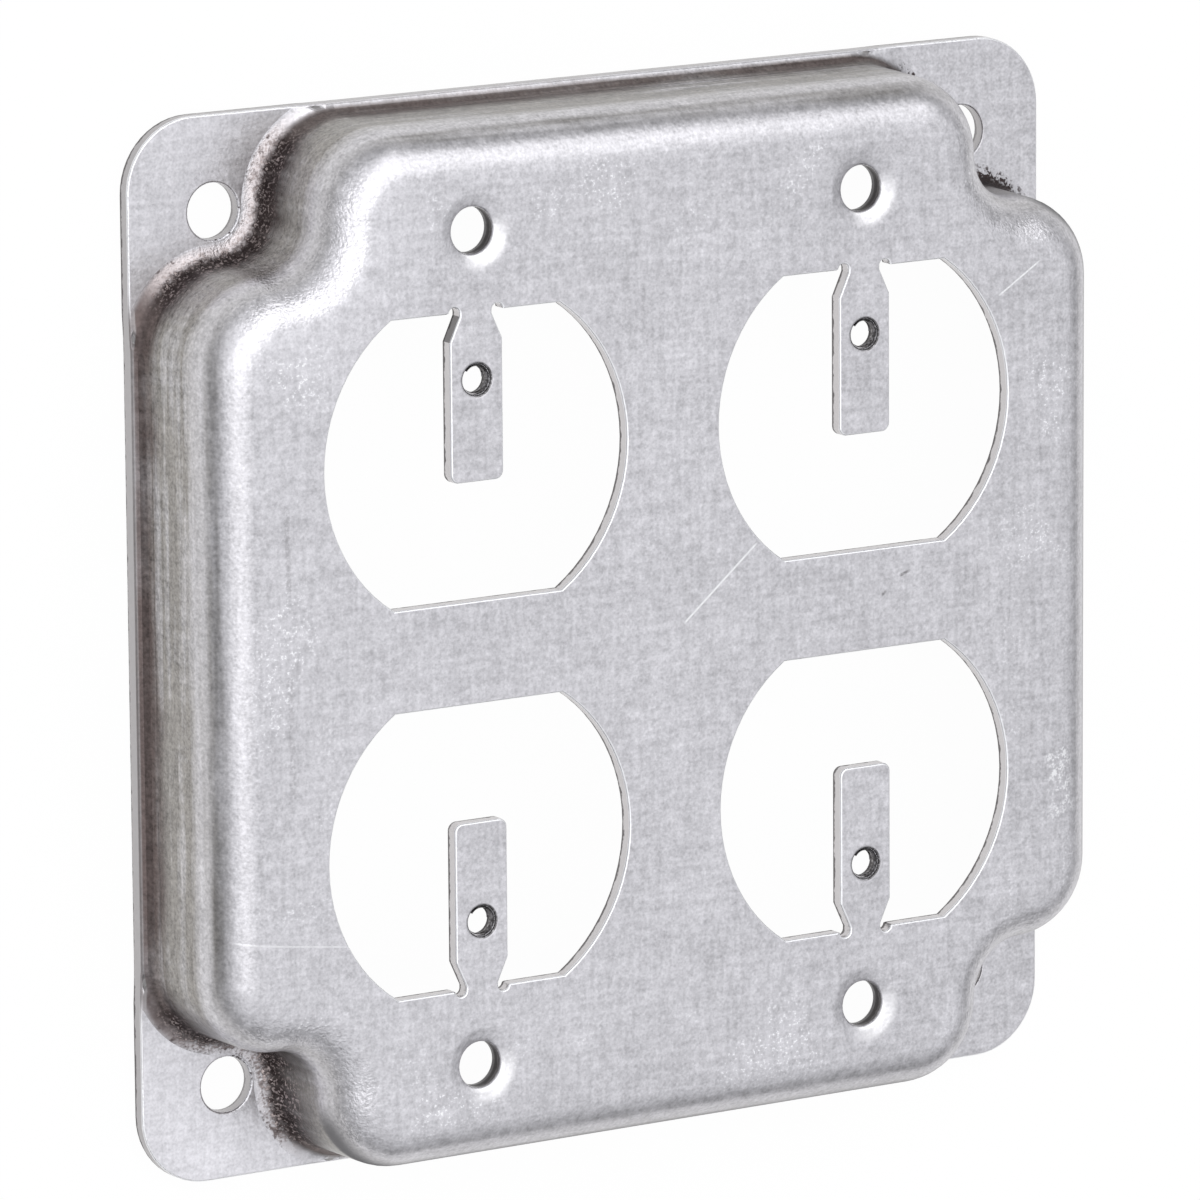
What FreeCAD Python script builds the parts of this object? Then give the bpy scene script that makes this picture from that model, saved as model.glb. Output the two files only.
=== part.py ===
import FreeCAD, Part
import math
import os

# The square box device cover: one blank of galvanised sheet, pressed into a
# raised flat-topped dome with its four corners pushed in, trimmed square,
# then punched. Lies on its flange at z = 0, with the face up.

# Sheet and raised dome
sheet = 1.6
overall_height = 15.9
dome_half_width = 52.1
wall_draft_deg = 1.5
shoulder_radius = 8.5
notch_radius = 5.0
rim_radius = 5.7
foot_radius = 2.0
foot_bands = 4
inside_bands = 3

# Flange, which shows as a narrow ledge along the sides and as four ears
flange_ledge = 1.1
flange_side = 2 * (dome_half_width + flange_ledge)
flange_corner_radius = 7.3

# Corner screws that hold the cover on its box
corner_hole_half_pitch = 43.65
corner_hole_diameter = 5.6

# Device openings
opening_x = 22.6
opening_y = 19.45
opening_diameter = 34.4
opening_height = 28.6

# Device screw holes, each in a pressed dimple
device_hole_y = 41.67
device_hole_diameter = 4.6
dimple_radius = 4.4
dimple_bend_radius = 2.4
dimple_slope_deg = 22.0

# Tabs left in the openings
tab_width = 6.0
neck_width = 3.7
neck_length = 0.3
tab_shoulder_length = 2.5
tab_length = 16.8
tab_end_radius = 0.9
relief_radius = 0.6
tab_hole_y = 27.05
tab_hole_diameter = 2.8
tab_hole_mouth_diameter = 3.5

up = FreeCAD.Vector(0, 0, 1)


def point(x, y, z=0.0):
    return FreeCAD.Vector(x, y, z)


def turned(shape, degrees):
    copy = shape.copy()
    copy.rotate(point(0, 0), up, degrees)
    return copy


def dome_outline(inset, z):
    """Closed outline of the dome, drawn inset from the foot line, at height z."""
    side = dome_half_width - inset
    shoulder = shoulder_radius - inset
    notch = notch_radius + inset
    centre_far = dome_half_width - shoulder_radius
    reach = shoulder_radius + notch_radius
    step = corner_hole_half_pitch - centre_far
    centre_near = corner_hole_half_pitch - math.sqrt(reach ** 2 - step ** 2)
    notch_at = point(corner_hole_half_pitch, corner_hole_half_pitch, z)
    low = point(centre_far, centre_near, z)
    high = point(centre_near, centre_far, z)
    lean = math.atan2(notch_at.y - low.y, notch_at.x - low.x)

    def on(centre, radius, angle):
        return centre + point(radius * math.cos(angle), radius * math.sin(angle))

    low_start = on(low, shoulder, 0)
    low_mid = on(low, shoulder, lean / 2)
    low_end = on(low, shoulder, lean)
    notch_mid = on(notch_at, notch, math.radians(225))
    high_start = on(high, shoulder, math.pi / 2 - lean)
    high_mid = on(high, shoulder, math.pi / 2 - lean / 2)
    high_end = on(high, shoulder, math.pi / 2)
    next_side = point(-centre_near, side, z)
    quarter = [
        Part.Arc(low_start, low_mid, low_end).toShape(),
        Part.Arc(low_end, notch_mid, high_start).toShape(),
        Part.Arc(high_start, high_mid, high_end).toShape(),
        Part.makeLine(high_end, next_side),
    ]
    edges = []
    for corner in range(4):
        edges += [turned(edge, 90 * corner) for edge in quarter]
    return Part.Wire(edges)


def wall_inset(inset, z):
    """Inset of a drafted wall at height z, from its inset at z = 0."""
    return inset + z * math.tan(math.radians(wall_draft_deg))


def foot_sections(inset, low, radius, bands):
    """Outlines up the bend between the flange and the wall, in narrow bands."""
    draft = math.radians(wall_draft_deg)
    level = low + radius
    middle = wall_inset(inset, level) - radius / math.cos(draft)
    sections = []
    for band in range(bands + 1):
        angle = (math.pi / 2 - draft) * band / bands
        reach = middle + radius * math.sin(angle)
        sections.append(dome_outline(reach, level - radius * math.cos(angle)))
    return sections


def rim_sections(inset, top, radius, bands):
    """Outlines round the bend between the wall and the face, in narrow bands."""
    draft = math.radians(wall_draft_deg)
    level = top - radius
    middle = wall_inset(inset, level) + radius / math.cos(draft)
    sections = []
    for band in range(bands + 1):
        angle = draft + (math.pi / 2 - draft) * band / bands
        reach = middle - radius * math.cos(angle)
        sections.append(dome_outline(reach, level + radius * math.sin(angle)))
    return sections


def outer_form():
    """Outside of the dome: its foot, its wall, and a true radius round the rim."""
    top = dome_outline(wall_inset(0.0, overall_height), overall_height)
    foot = foot_sections(0.0, sheet, foot_radius, foot_bands)
    block = Part.makeLoft(foot + [top], True, True)
    rim = [e for e in block.Edges if abs(e.BoundBox.ZMin - overall_height) < 1e-6]
    return block.makeFillet(rim_radius, rim)


def inner_form():
    """Inside of the dome, one sheet thickness within, its bends in flat bands."""
    gap = sheet / math.cos(math.radians(wall_draft_deg))
    foot = foot_sections(gap, 0.0, foot_radius + sheet, inside_bands)
    rim = rim_sections(gap, overall_height - sheet, rim_radius - sheet, inside_bands)
    return Part.makeLoft(foot + rim, True, True)


def pressed_sheet():
    """The drawn sheet, of one thickness all over, trimmed to the flange."""
    half = flange_side / 2
    wide = half + 10
    plate = Part.makeBox(2 * wide, 2 * wide, sheet, point(-wide, -wide))
    trim = Part.makeBox(flange_side, flange_side, overall_height, point(-half, -half))
    upright = [e for e in trim.Edges if e.BoundBox.ZLength > overall_height / 2]
    trim = trim.makeFillet(flange_corner_radius, upright)
    return outer_form().fuse(plate).common(trim).cut(inner_form())


def corner_holes():
    drills = []
    for sx in (-1, 1):
        for sy in (-1, 1):
            at = point(sx * corner_hole_half_pitch, sy * corner_hole_half_pitch, -1)
            drills.append(Part.makeCylinder(corner_hole_diameter / 2, sheet + 2, at))
    return drills


def device_opening():
    """Cutter for one upper opening on its own centre line, less its tab."""
    low = overall_height - 2 * sheet
    deep = 3 * sheet
    disc = Part.makeCylinder(opening_diameter / 2, deep, point(0, opening_y, low))
    half = opening_height / 2
    band = Part.makeBox(opening_diameter + 2, opening_height, deep,
                        point(-opening_diameter / 2 - 1, opening_y - half, low))
    hole = disc.common(band)
    flat = opening_y + half
    for side in (-1, 1):
        at = point(side * (neck_width / 2 + relief_radius), flat, low)
        hole = hole.fuse(Part.makeCylinder(relief_radius, deep, at))
    return hole.removeSplitter().cut(device_tab(flat, low - 1, deep + 2))


def device_tab(flat, low, deep):
    """The tab that hangs from the flat of the opening, as a prism."""
    root = flat + 2 * relief_radius
    neck = neck_width / 2
    wide = tab_width / 2
    begin = flat - neck_length
    full = begin - tab_shoulder_length
    end = flat - tab_length
    right = [(neck, root), (neck, begin), (wide, full), (wide, end)]
    left = [(-x, y) for x, y in reversed(right)]
    corners = [point(x, y, low) for x, y in right + left]
    outline = Part.makePolygon(corners + corners[:1])
    prism = Part.Face(outline).extrude(point(0, 0, deep))
    ends = []
    for edge in prism.Edges:
        box = edge.BoundBox
        if box.ZLength > deep / 2 and box.YMax < end + 0.01:
            ends.append(edge)
    return prism.makeFillet(tab_end_radius, ends)


def tab_thread_hole():
    """Drill for the tapped hole of a tab, at its minor size, with an open mouth."""
    small = tab_hole_diameter / 2
    large = tab_hole_mouth_diameter / 2
    lead = large - small
    low = overall_height - sheet
    at = point(0, tab_hole_y, low - 1)
    drill = Part.makeCylinder(small, sheet + 2, at)
    mouth = Part.makeCone(small, large + lead, 2 * lead,
                          point(0, tab_hole_y, overall_height - lead))
    return drill.fuse(mouth)


def dimple():
    """The dished ring of sheet round a device screw hole, at x = y = 0."""
    slope = math.radians(dimple_slope_deg)
    bend = dimple_bend_radius
    hole = device_hole_diameter / 2
    rim = point(dimple_radius, 0, overall_height)
    middle = rim - point(0, 0, bend)

    def on(angle):
        return middle + point(-bend * math.sin(angle), 0, bend * math.cos(angle))

    def at_hole(start):
        return point(hole, 0, start.z - (start.x - hole) * math.tan(slope))

    back = rim - point(0, 0, sheet)
    corner = back - point((bend - sheet) * math.tan(slope / 2), 0)
    wire = Part.Wire([
        Part.Arc(rim, on(slope / 2), on(slope)).toShape(),
        Part.makeLine(on(slope), at_hole(on(slope))),
        Part.makeLine(at_hole(on(slope)), at_hole(corner)),
        Part.makeLine(at_hole(corner), corner),
        Part.makeLine(corner, back),
        Part.makeLine(back, rim),
    ])
    return Part.Face(wire).revolve(point(0, 0), up, 360)


def placed(shape, x, y, flip):
    """Copy of a shape made for the upper half, moved, or turned for the lower."""
    copy = shape.copy()
    if flip:
        copy.rotate(point(0, 0), up, 180)
    copy.translate(point(x, y))
    return copy


def cover():
    body = pressed_sheet().cut(corner_holes())
    opening = device_opening()
    thread = tab_thread_hole()
    seat = Part.makeCylinder(dimple_radius, 3 * sheet, point(0, 0, overall_height - 2 * sheet))
    ring = dimple()
    cuts = []
    rings = []
    for x in (-opening_x, opening_x):
        for flip in (False, True):
            side = -1 if flip else 1
            cuts.append(placed(opening, x, 0, flip))
            cuts.append(placed(thread, x, 0, flip))
            cuts.append(placed(seat, x, side * device_hole_y, flip))
            rings.append(placed(ring, x, side * device_hole_y, flip))
    return body.cut(cuts).fuse(rings).removeSplitter()


os.makedirs("parts", exist_ok=True)
solid = cover()
shape = solid.Solids[0] if len(solid.Solids) == 1 else solid
shape.exportStep("parts/raised_cover.step")
print("solids", len(solid.Solids), "valid", shape.isValid(), "volume", round(shape.Volume, 1))
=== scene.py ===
import math

import bmesh
import bpy
from mathutils import Matrix, Vector


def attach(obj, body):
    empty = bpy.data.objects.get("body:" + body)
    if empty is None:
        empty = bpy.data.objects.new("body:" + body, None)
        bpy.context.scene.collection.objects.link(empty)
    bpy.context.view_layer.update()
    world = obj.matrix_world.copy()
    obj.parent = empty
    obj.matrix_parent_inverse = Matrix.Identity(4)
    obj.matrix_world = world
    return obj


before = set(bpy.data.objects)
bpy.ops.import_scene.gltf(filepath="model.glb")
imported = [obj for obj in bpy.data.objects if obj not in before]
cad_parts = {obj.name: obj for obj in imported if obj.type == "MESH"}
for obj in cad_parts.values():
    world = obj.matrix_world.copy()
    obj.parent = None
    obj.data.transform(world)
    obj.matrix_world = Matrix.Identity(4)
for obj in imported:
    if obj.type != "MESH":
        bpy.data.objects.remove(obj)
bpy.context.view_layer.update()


# The cover is one blank of galvanised sheet steel, pressed, trimmed and punched.
# Its skin is dull zinc, pale and mottled on the face and ears, streaked where the
# die drew it down the walls, and brown in the foot, where the sheet bent hardest.
# Light and shade are painted into it too: shade on the walls, in the notches and holes,
# highlights on the rim, the turned edges and the dishes, and a face lighter to the left.
class Value:
    """One socket of a shader tree. Sums on sockets add Math nodes."""

    def __init__(self, shader, socket):
        self.shader = shader
        self.socket = socket

    def math(self, operation, *values):
        return self.shader.node("ShaderNodeMath", {"operation": operation}, dict(enumerate(values)))

    def __add__(self, other):
        return self.math("ADD", self, other)

    def __radd__(self, other):
        return self.math("ADD", other, self)

    def __sub__(self, other):
        return self.math("SUBTRACT", self, other)

    def __rsub__(self, other):
        return self.math("SUBTRACT", other, self)

    def __mul__(self, other):
        return self.math("MULTIPLY", self, other)

    def __rmul__(self, other):
        return self.math("MULTIPLY", other, self)

    def __truediv__(self, other):
        return self.math("DIVIDE", self, other)

    def __abs__(self):
        return self.math("ABSOLUTE", self)

    def root(self):
        return self.math("SQRT", self)

    def most(self, other):
        return self.math("MAXIMUM", self, other)

    def least(self, other):
        return self.math("MINIMUM", self, other)

    def clamped(self):
        return self.shader.node("ShaderNodeClamp", {}, {0: self})

    def rise(self, low, high):
        """0 up to low, 1 from high on, with a soft step between."""
        return self.shader.node("ShaderNodeMapRange", {"interpolation_type": "SMOOTHSTEP"},
                                {"Value": self, "From Min": low, "From Max": high})

    def parts(self):
        """X, Y and Z of a vector."""
        apart = self.shader.node("ShaderNodeSeparateXYZ", {}, {0: self})
        return [Value(self.shader, socket) for socket in apart.socket.node.outputs]


class Shader:
    """The nodes of a material or of the room, each made by one method."""

    def __init__(self, holder):
        holder.use_nodes = True
        self.tree = holder.node_tree
        self.tree.nodes.clear()

    def node(self, kind, settings, inputs, out=0):
        made = self.tree.nodes.new(kind)
        for name, setting in settings.items():
            setattr(made, name, setting)
        for key, value in inputs.items():
            if isinstance(value, Value):
                self.tree.links.new(value.socket, made.inputs[key])
            else:
                made.inputs[key].default_value = value
        return Value(self, made.outputs[out]) if made.outputs else None

    def noise(self, where, stretch, scale, detail=2.0, roughness=0.5):
        """Noise about 0 to 1 with its middle at 0.5, on stretched coordinates."""
        spread = self.node("ShaderNodeVectorMath", {"operation": "MULTIPLY"},
                           {0: where, 1: stretch})
        return self.node("ShaderNodeTexNoise", {}, {"Vector": spread, "Scale": scale,
                                                    "Detail": detail, "Roughness": roughness})

    def covered(self, under, over, share):
        """Colour under, covered by colour over where share is 1."""
        return self.node("ShaderNodeMix", {"data_type": "RGBA", "clamp_factor": True},
                         {0: share, 6: under, 7: over}, out=2)

    def scaled(self, colour, gain):
        """A colour times a number."""
        return self.node("ShaderNodeVectorMath", {"operation": "SCALE"}, {0: colour, "Scale": gain})


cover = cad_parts["raised_cover"]
sheet = 0.0016
face_height = 0.0159
corner_hole_at = 0.04365
device_hole_at = (0.0226, 0.04167)
tab_hole_at = (0.0226, 0.02705)

galvanised = bpy.data.materials.new("galvanised_sheet")
zinc = Shader(galvanised)
where = zinc.node("ShaderNodeTexCoord", {}, {}, out="Object")
x, y, z = where.parts()
facing = zinc.node("ShaderNodeNewGeometry", {}, {}, out="Normal")
nx, ny, nz = facing.parts()


def near(at_x, at_y, inner, outer):
    """1 round four like places, left and right, above and below, and 0 beyond outer."""
    across = abs(x) - at_x
    along = abs(y) - at_y
    return 1 - (across * across + along * along).root().rise(inner, outer)


# masks, each 1 on the region that it names and 0 elsewhere
radial = (x * x + y * y).root()
outward = ((nx * x + ny * y) / (radial + 1e-5)).rise(0.02, 0.35)
in_notch = near(corner_hole_at, corner_hole_at, 0.0080, 0.0130)
round_corner = near(corner_hole_at, corner_hole_at, 0.0090, 0.0190)
left = (0 - x).rise(0.0460, 0.0500)
ear = abs(x).least(abs(y)).rise(0.0330, 0.0370)
lower_side = x.most(0 - y).rise(0.0440, 0.0480)
on_top = z.rise(0.0140, 0.0142)
left_half = (0 - x).rise(-0.001, 0.001)
below = (0 - y).rise(-0.001, 0.001)
upright = (1 - nz.rise(0.20, 0.45)) * nz.rise(-0.985, -0.93)
clear_of_notch = 1 - near(corner_hole_at, corner_hole_at, 0.0120, 0.0122)
within = (1 - abs(x).most(abs(y)).rise(0.0456, 0.0460)) * clear_of_notch

# how far in from the flange's edge, whose corners are round
ear_radius = 0.0073
ear_middle = 0.0459
past_x = abs(x) - ear_middle
past_y = abs(y) - ear_middle
corner_reach = (past_x.most(0) * past_x.most(0) + past_y.most(0) * past_y.most(0)).root()
edge_in = ear_radius - corner_reach - past_x.most(past_y).least(0)

# mottle of the zinc from broad to fine, with the mill's rolling lines both ways, and painted light
# on the face, the left ears and the rim
cloud = zinc.noise(where, (1, 1, 1), 120, 0.0)
mottle = zinc.noise(where, (1, 1, 1), 900, 2.0, 0.75)
grit = zinc.noise(where, (1, 1, 1), 3300, 1.0, 0.6)
rolled = zinc.noise(where, (0.08, 1, 1), 2300, 0.0)
crossed = zinc.noise(where, (1, 0.08, 1), 2300, 0.0)
tone_and_painted_light = (cloud - 0.5) * 0.14 + (mottle - 0.5) * 0.55 + (grit - 0.5) * 0.60
# painted light: the face is lighter to the left and darker to the right
tone_and_painted_light = tone_and_painted_light + (rolled - 0.5) * 0.20 + (crossed - 0.5) * 0.20 - x * 0.9
# painted light: the left ears are lighter, the lower one most
painted_light_on_ears = (1 - z.rise(0.00165, 0.0018)) * (0 - x).rise(0.0300, 0.0450)
tone_and_painted_light = tone_and_painted_light + painted_light_on_ears * (0.16 - y * 1.4)
# painted highlight on the rim's top-left corner, and painted shade on the left rim between its
# corners
painted_highlight_corner = round_corner * left_half * (1 - below) * 0.12
painted_shade_left_rim = (0 - x).rise(0.0462, 0.0480) * (1 - round_corner) * 0.09
painted_light_on_rim = (painted_highlight_corner - painted_shade_left_rim) * z.rise(0.0125, 0.0135)

# drawing marks, which run level round the walls, and the brown of the foot; the walls' grey is
# partly painted shade, and a dark band under the rim and the tops of the lower and right walls are
# painted shade
drawn = zinc.noise(where, (0.035, 0.035, 1), 620, 2.0, 0.65)
drawn_fine = zinc.noise(where, (0.05, 0.05, 1), 2600, 0.0)
smear = zinc.noise(where, (1, 1, 0.12), 1000, 1.0, 0.6)
streaks = ((drawn - 0.5) * 3.2 + (drawn_fine - 0.5) * 0.9) * (1 - round_corner * 0.65)
streaks = streaks + (smear - 0.5) * 0.8 + (cloud - 0.5) * 1.0
wall = outward * z.rise(0.0019, 0.0024) * (1 - z.rise(0.0092, 0.0116) * 0.75)
wall = wall * (1 - z.rise(0.0130, 0.0140))
# painted shade: a dark band just under the rim's highlight, standing in for the dark horizon it
# mirrors
painted_dark_band = outward * z.rise(0.0122, 0.0130) * (1 - z.rise(0.0136, 0.0147))
painted_dark_band = painted_dark_band * (1 - lower_side * 0.7) * (1 - round_corner * 0.8)
foot_top = 0.0036 + (cloud - 0.5) * 0.003
foot_low = z.rise(0.00185, 0.0023).most(left * (1 - abs(y).rise(0.0395, 0.0450)))
foot = outward * (1 - ((z - foot_top) / 0.0020).rise(-0.5, 1.0)) * foot_low
# painted shade on the upper walls of the right and lower sides
lowered = z - nx.most(0) * 0.0013
under = outward * lower_side * z.rise(0.0095, 0.0110) * (1 - lowered.rise(0.0110, 0.0137))

pale = (0.617, 0.606, 0.631, 1)
drawn_and_shaded_grey = (0.290, 0.275, 0.260, 1)
painted_band_grey = (0.25, 0.24, 0.235, 1)
brown = (0.120, 0.095, 0.091, 1)
shaded_grey = (0.10, 0.097, 0.097, 1)
# the walls' darker grey is partly drawing streaks and partly painted shade
colour = zinc.covered(pale, drawn_and_shaded_grey, wall * (0.92 + streaks * 0.7))
colour = zinc.covered(colour, painted_band_grey, painted_dark_band * (0.62 + streaks * 0.6))
colour = zinc.covered(colour, brown, foot * (0.86 + left * 0.12 + streaks * 0.25))
colour = zinc.covered(colour, shaded_grey, under * 0.9)

# the notches, where the sheet was stretched and pinched: dark above, partly soot and partly painted
# shade, crinkled at the foot
soot_and_shade = (0.046, 0.034, 0.033, 1)
rose = (0.56, 0.505, 0.505, 1)
crinkled_zinc = (0.56, 0.48, 0.465, 1)
hollow = in_notch * outward
wavy = z + (mottle - 0.5) * 0.0018 + (grit - 0.5) * 0.0014
soot_and_shade_starts = 0.00161 - below * 0.0002
soot_and_shade_full = 0.0026
# painted shade: the dark reaches higher where the notch wall faces down
soot_and_shade_ends = 0.0098 + below * 0.0006 - ny * 0.0030
soot_and_shade_share = 1 - ((z - soot_and_shade_full) / (soot_and_shade_ends - soot_and_shade_full)).rise(0.0, 1.0)
soot_and_shade_share = soot_and_shade_share * wavy.rise(soot_and_shade_starts, 0.00203)
patchy = 1.05 + (smear - 0.5) * 1.6 + (mottle - 0.5) * 1.2 + (grit - 0.5) * 1.0
colour = zinc.covered(colour, soot_and_shade, hollow * soot_and_shade_share * patchy)
bend = outward * z.rise(0.00160, 0.00166) * (1 - wavy.rise(0.0018, 0.0024))
bend = bend * (1 - left * (1 - in_notch)) * (in_notch * 0.5 + 0.25)
colour = zinc.covered(colour, rose, bend * left_half * (1 - below * 0.6))
flecks = grit.rise(0.49, 0.66) * (0.4 + mottle.rise(0.40, 0.60) * 0.6)
flecks = flecks * hollow * left_half * z.rise(0.00162, 0.0019)
flecks = flecks * (1 - (z - below * 0.0026 - ny * 0.0012).rise(0.0022, 0.0056))
colour = zinc.covered(colour, crinkled_zinc, flecks * (0.50 + below * 0.25))

# bright zinc grains, most of them near the rim, where they also stand for painted glints in its
# highlight; then the mottle and the painted light over everything so far
grain_and_glint_white = (0.93, 0.93, 0.95, 1)
rim_near = 1 - abs(abs(x).most(abs(y)) - 0.0440).rise(0.0010, 0.0060)
grain_and_glint = grit.rise(0.61, 0.72) * cloud.rise(0.54, 0.66) * (0.06 + rim_near * 0.94)
grain_and_glint = grain_and_glint * nz.rise(0.80, 0.92) * on_top
colour = zinc.covered(colour, grain_and_glint_white, grain_and_glint * 0.65)
colour = zinc.scaled(colour, 1 + tone_and_painted_light * (1 + wall * 0.8) + painted_light_on_rim)

# sheared edges: burnished above, torn and dark below, and bright where they turn over, partly
# burnish and partly a painted highlight
flange_cut = (0.46, 0.445, 0.45, 1)
face_cut = (0.63, 0.61, 0.615, 1)
torn_steel = (0.13, 0.12, 0.12, 1)
level = (z - on_top * (face_height - sheet)) / sheet
at_corner = near(corner_hole_at, corner_hole_at, 0.0034, 0.0036)
low_edge = (1 - z.rise(0.0019, 0.0020)) * (1 - edge_in.rise(0.0005, 0.0007) + at_corner).clamped()
sheared = upright * (on_top * within).most(low_edge)
torn = 1 - (level + (mottle - 0.5) * 0.5).rise(0.22, 0.36)
cut_grey = zinc.covered(flange_cut, face_cut, on_top)
colour = zinc.covered(colour, cut_grey, sheared)
colour = zinc.covered(colour, torn_steel, sheared * torn * (0.9 - at_corner * 0.5))

# dark mouths and hole walls, painted shade; bright dishes round the device holes, a painted
# highlight; and turned edges
painted_hole_shade = (0.050, 0.046, 0.047, 1)
painted_dish_highlight = (0.93, 0.92, 0.93, 1)
burnished_and_highlit = (0.90, 0.90, 0.92, 1)
# painted shade: the tab holes' left-facing mouths, the device holes' walls and the tab necks'
# slanted edges are coloured near black
mouth = (1 - nz.rise(0.90, 0.97)) * near(*tab_hole_at, 0.00178, 0.00188) * on_top
shadowed = (0 - nx).rise(-0.3, 0.3)
device_hole = near(*device_hole_at, 0.0026, 0.0030) * upright * z.rise(0.0115, 0.0120)
tab_shoulder = near(0.0256, 0.0320, 0.0018, 0.0022)
slanted = (0 - nx).rise(0.25, 0.40) * ny.rise(0.25, 0.40) * upright * tab_shoulder * on_top
painted_dark_share = (device_hole + slanted * 0.8).most(mouth * shadowed * (1.0 + (grit - 0.5) * 2.4)).clamped()
colour = zinc.covered(colour, painted_hole_shade, painted_dark_share * 0.9)
# painted highlight on the dish slopes that face up and left, round the device holes
dish_highlight = near(*device_hole_at, 0.0032, 0.0052) * (ny - nx).rise(0.06, 0.50)
dish_highlight = dish_highlight * nz.rise(0.6, 0.7) * on_top
colour = zinc.covered(colour, painted_dish_highlight, dish_highlight * 0.55)
# painted highlight: a bright line where the sheared edges turn over onto the flats, strongest on the
# ears
plain_edge = 1 - near(*device_hole_at, 0.0044, 0.0046) - near(*tab_hole_at, 0.0021, 0.0022)
low_edge_highlight = low_edge * (0.2 + ear * 0.8) * (1 - at_corner)
turned_edge_highlight = (1 - nz.rise(0.93, 0.985)) * nz.rise(0.10, 0.30) * level.rise(0.75, 0.85)
turned_edge_highlight = turned_edge_highlight * (on_top * within * plain_edge).most(low_edge_highlight)
colour = zinc.covered(colour, burnished_and_highlit, turned_edge_highlight * 0.9)

# scratches on the face, from one end to the other, thinning where they skip
scratched_zinc = (0.95, 0.95, 0.96, 1)
nicked_zinc = (0.12, 0.11, 0.11, 1)
on_face = nz.rise(0.70, 0.80) * z.rise(0.0136, 0.0142)


def scratch(start, end, width, skips):
    """Share of the surface that a straight scratch covers."""
    run_x = end[0] - start[0]
    run_y = end[1] - start[1]
    length = math.hypot(run_x, run_y)
    along = (x - start[0]) * (run_x / length) + (y - start[1]) * (run_y / length)
    across = (x - start[0]) * (-run_y / length) + (y - start[1]) * (run_x / length)
    line = 1 - abs(across).rise(width * 0.3, width)
    ends = along.rise(-0.0002, 0.0002) * (1 - (along - length).rise(-0.0005, 0.0005))
    return line * ends * (1 - skips * grit.rise(0.45, 0.60))


bright = scratch((0.0012, 0.0002), (0.0096, 0.0072), 0.00016, 0.3)
bright = bright.most(scratch((0.0388, 0.0294), (0.0436, 0.0324), 0.00014, 0.4))
bright = bright.most(scratch((-0.0502, -0.0259), (-0.0370, -0.0277), 0.00014, 0.6) * 0.6)
rubbed = scratch((0.0460, -0.0180), (0.0466, -0.0250), 0.0021, 0.0)
rubbed = rubbed * mottle.rise(0.46, 0.58) * grit.rise(0.43, 0.56)
bright = bright.most(rubbed * 0.8)
colour = zinc.covered(colour, scratched_zinc, bright * on_face * 0.9)
dark = scratch((0.0268, 0.0021), (0.0278, 0.0024), 0.00022, 0.3)
dark = dark.most(scratch((0.0246, 0.0003), (0.0250, 0.0006), 0.00020, 0.3))
dark = dark.most(scratch((-0.0442, 0.0170), (-0.0440, 0.0080), 0.00045, 0.5) * 0.3)
dark = dark.most(scratch((-0.0440, 0.0000), (-0.0438, -0.0120), 0.00045, 0.5) * 0.25)
colour = zinc.covered(colour, nicked_zinc, dark * 0.75)

rough = 0.335 + (mottle - 0.5) * 0.24 + sheared * torn * 0.2 + foot * 0.06 + under * 0.2
height = (mottle - 0.5) * 1.3 + (grit - 0.5) * hollow * 2.0 + (drawn_fine - 0.5) * wall
bumped = zinc.node("ShaderNodeBump", {}, {"Strength": 0.60, "Distance": 0.00006,
                                          "Height": height})
skin = zinc.node("ShaderNodeBsdfPrincipled", {}, {"Base Color": colour, "Metallic": 0.92,
                                                  "Roughness": rough, "Normal": bumped})
# the same painted shade again, as a matt dark layer mixed over the skin
painted_shade_matt = zinc.node("ShaderNodeBsdfDiffuse", {}, {"Color": (0.19, 0.185, 0.19, 1)})
skin_and_painted_shade = zinc.node("ShaderNodeMixShader", {}, {0: under * 0.9, 1: skin, 2: painted_shade_matt})
zinc.node("ShaderNodeOutputMaterial", {}, {"Surface": skin_and_painted_shade})
# the punched edges are rolled over, once the flat faces are each one face again
cover.data.materials.clear()
cover.data.materials.append(galvanised)
weld = cover.modifiers.new("weld", "WELD")
weld.merge_threshold = 1e-6
flat_faces = cover.modifiers.new("flat_faces", "DECIMATE")
flat_faces.decimate_type = "DISSOLVE"
flat_faces.angle_limit = math.radians(0.05)
rolled_edges = cover.modifiers.new("rolled_edges", "BEVEL")
rolled_edges.width = 0.00026
rolled_edges.use_clamp_overlap = False
rolled_edges.loop_slide = False
rolled_edges.segments = 3
rolled_edges.limit_method = "ANGLE"
rolled_edges.angle_limit = math.radians(38)
rolled_edges.harden_normals = True


# The hole of each tab is tapped for the device screw. Its thread is cut through the
# zinc, so it is bare dark steel, and its ridges stand a little inside the drilled wall.
thread_pitch = 0.000794
thread_turn = 500
thread_steps = 56
thread_corners = ((0.00144, 0.01435), (0.00130, 0.01455), (0.00144, 0.01475))
thread_mesh = bmesh.new()
for side in (-1, 1):
    for end in (-1, 1):
        middle = Vector((side * tab_hole_at[0], end * tab_hole_at[1], 0))
        ring = [thread_mesh.verts.new(middle + Vector((reach, 0, up)))
                for reach, up in thread_corners]
        ridge = thread_mesh.faces.new(ring)
        rise_a_step = thread_pitch * thread_turn / 360 / thread_steps
        bmesh.ops.spin(thread_mesh, geom=[ridge], cent=middle, axis=(0, 0, 1),
                       angle=math.radians(thread_turn), dvec=(0, 0, rise_a_step),
                       steps=thread_steps, use_duplicate=False)
bmesh.ops.recalc_face_normals(thread_mesh, faces=thread_mesh.faces)
thread_data = bpy.data.meshes.new("tab_threads")
thread_mesh.to_mesh(thread_data)
threads = bpy.data.objects.new("tab_threads", thread_data)
bpy.context.scene.collection.objects.link(threads)
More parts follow.
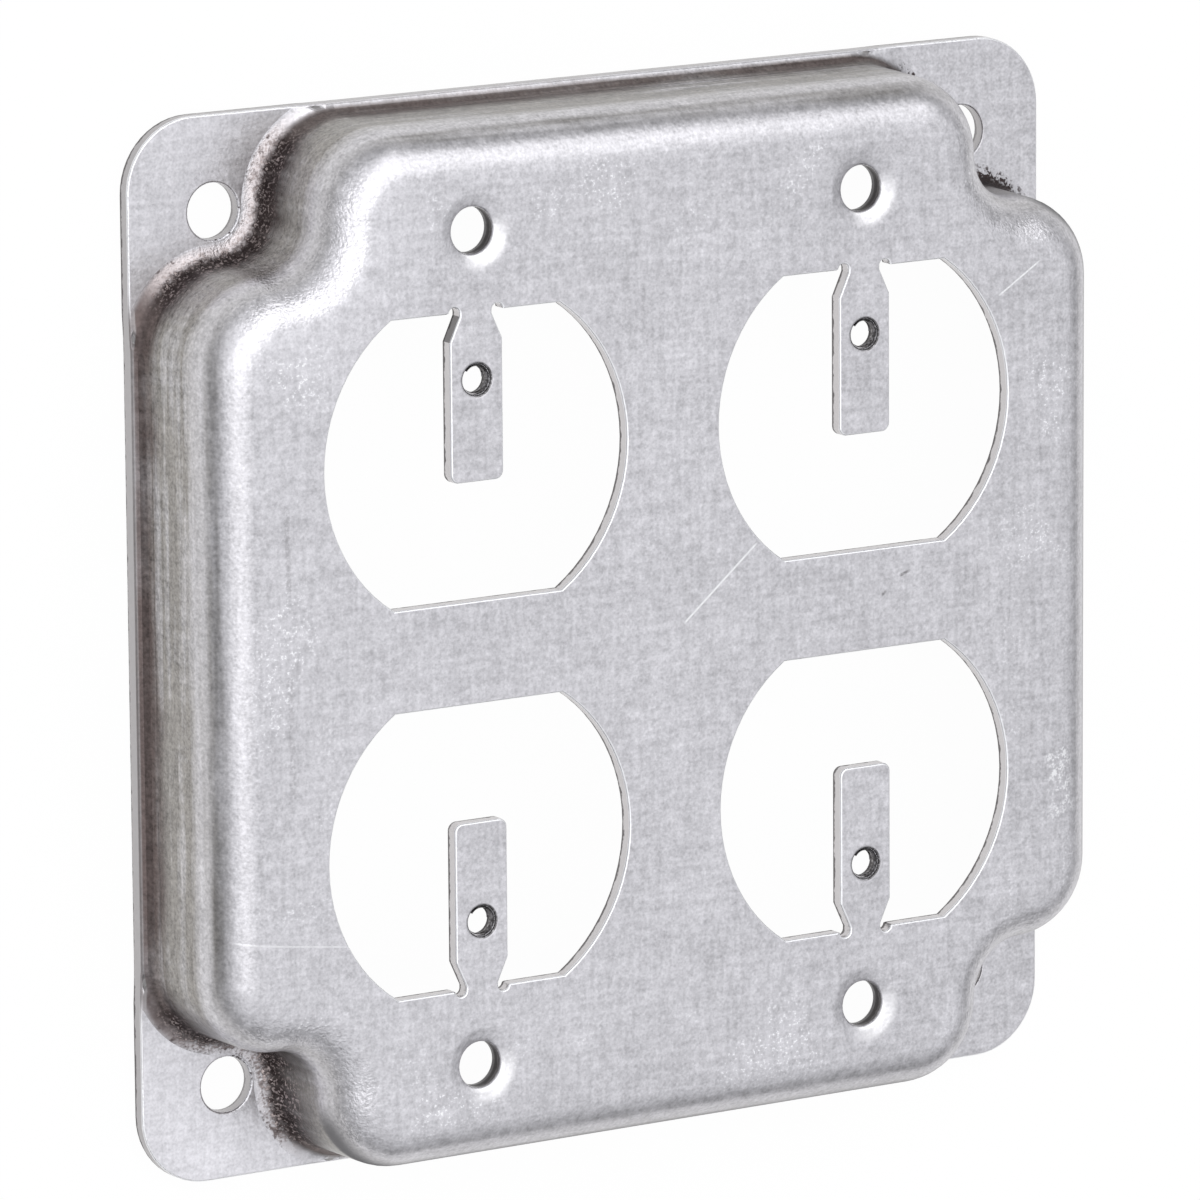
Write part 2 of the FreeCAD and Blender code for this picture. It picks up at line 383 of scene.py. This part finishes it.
cut_thread = bpy.data.materials.new("cut_thread")
bare = Shader(cut_thread)
spot = bare.node("ShaderNodeTexCoord", {}, {}, out="Object")
oily = bare.noise(spot, (1, 1, 1), 2600, 3.0, 0.6)
dark_steel = (0.10, 0.095, 0.095, 1)
bright_steel = (0.34, 0.33, 0.34, 1)
steel = bare.covered(dark_steel, bright_steel, oily.rise(0.40, 0.65))
cut = bare.node("ShaderNodeBsdfPrincipled", {}, {"Base Color": steel, "Metallic": 0.9,
                                                "Roughness": 0.34 + (oily - 0.5) * 0.3})
bare.node("ShaderNodeOutputMaterial", {}, {"Surface": cut})
thread_data.materials.append(cut_thread)
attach(threads, "root")


# The floor is a sheet of white paper, for the picture only. It lies just under the
# cover, shows as pure white to the eye, and still takes the cover's soft shadow.
paper_gap = 0.00002
floor_mesh = bmesh.new()
bmesh.ops.create_grid(floor_mesh, x_segments=1, y_segments=1, size=3.0)
bmesh.ops.translate(floor_mesh, verts=floor_mesh.verts, vec=Vector((0, 0, -paper_gap)))
floor_data = bpy.data.meshes.new("floor")
floor_mesh.to_mesh(floor_data)
floor = bpy.data.objects.new("floor", floor_data)
bpy.context.scene.collection.objects.link(floor)
white_paper = bpy.data.materials.new("white_paper")
paper = Shader(white_paper)
seen = paper.node("ShaderNodeLightPath", {}, {}, out="Is Camera Ray")
mirrored = paper.node("ShaderNodeLightPath", {}, {}, out="Is Glossy Ray")
through = paper.node("ShaderNodeLightPath", {}, {}, out="Is Transmission Ray")
matt = paper.node("ShaderNodeBsdfDiffuse", {}, {"Color": (0.95, 0.95, 0.95, 1)})
white = paper.node("ShaderNodeEmission", {}, {"Color": (1, 1, 1, 1), "Strength": 1.0})
share = (seen + mirrored + through).clamped() * 0.97
both = paper.node("ShaderNodeMixShader", {}, {0: share, 1: matt, 2: white})
paper.node("ShaderNodeOutputMaterial", {}, {"Surface": both})
floor_data.materials.append(white_paper)

# The camera stands up and to the left of the cover, with a long lens. Its place was
# fitted to the holes and corners of the cover in the photo.
lens = bpy.data.cameras.new("camera")
lens.lens = 296.605
lens.sensor_width = 36.0
lens.shift_x = -0.00065
lens.shift_y = -0.00222
lens.clip_start = 0.05
camera = bpy.data.objects.new("camera", lens)
camera.location = (-0.51261, 0.19847, 0.82507)
camera.rotation_euler = [math.radians(turn) for turn in (-11.28022, -32.00082, -0.4859)]
bpy.context.scene.collection.objects.link(camera)
bpy.context.scene.camera = camera

# Soft studio light: a pale room that is dimmer near the floor, a long softbox high
# on the left and a smaller one behind.
world = bpy.data.worlds.new("studio")
bpy.context.scene.world = world
room = Shader(world)
toward = room.node("ShaderNodeTexCoord", {}, {}).parts()
glow = 0.27 + toward[2].rise(0.0, 0.58) * 0.71 - (0 - toward[1]).rise(0.35, 0.85) * 0.15
room_light = room.node("ShaderNodeBackground", {}, {"Color": (0.97, 0.98, 1.0, 1), "Strength": glow})
room.node("ShaderNodeOutputWorld", {}, {"Surface": room_light})


def softbox(name, toward, away, width, depth, radiance):
    """A flat lamp that faces the cover, as bright as radiance seen from it."""
    data = bpy.data.lights.new(name, "AREA")
    data.shape = "RECTANGLE"
    data.size = width
    data.size_y = depth
    data.energy = radiance * math.pi * width * depth
    made = bpy.data.objects.new(name, data)
    spot = Vector(toward).normalized() * away
    aim = (-spot).to_track_quat("-Z", "Y").to_matrix().to_4x4()
    made.matrix_world = Matrix.Translation(spot) @ aim
    bpy.context.scene.collection.objects.link(made)


softbox("left_box", (-0.30, 0.27, 0.92), 1.3, 2.0, 0.82, 0.88)
softbox("back_box", (0.36, 0.71, 0.60), 0.75, 0.46, 0.42, 0.85)

bpy.context.scene.view_settings.view_transform = "Standard"
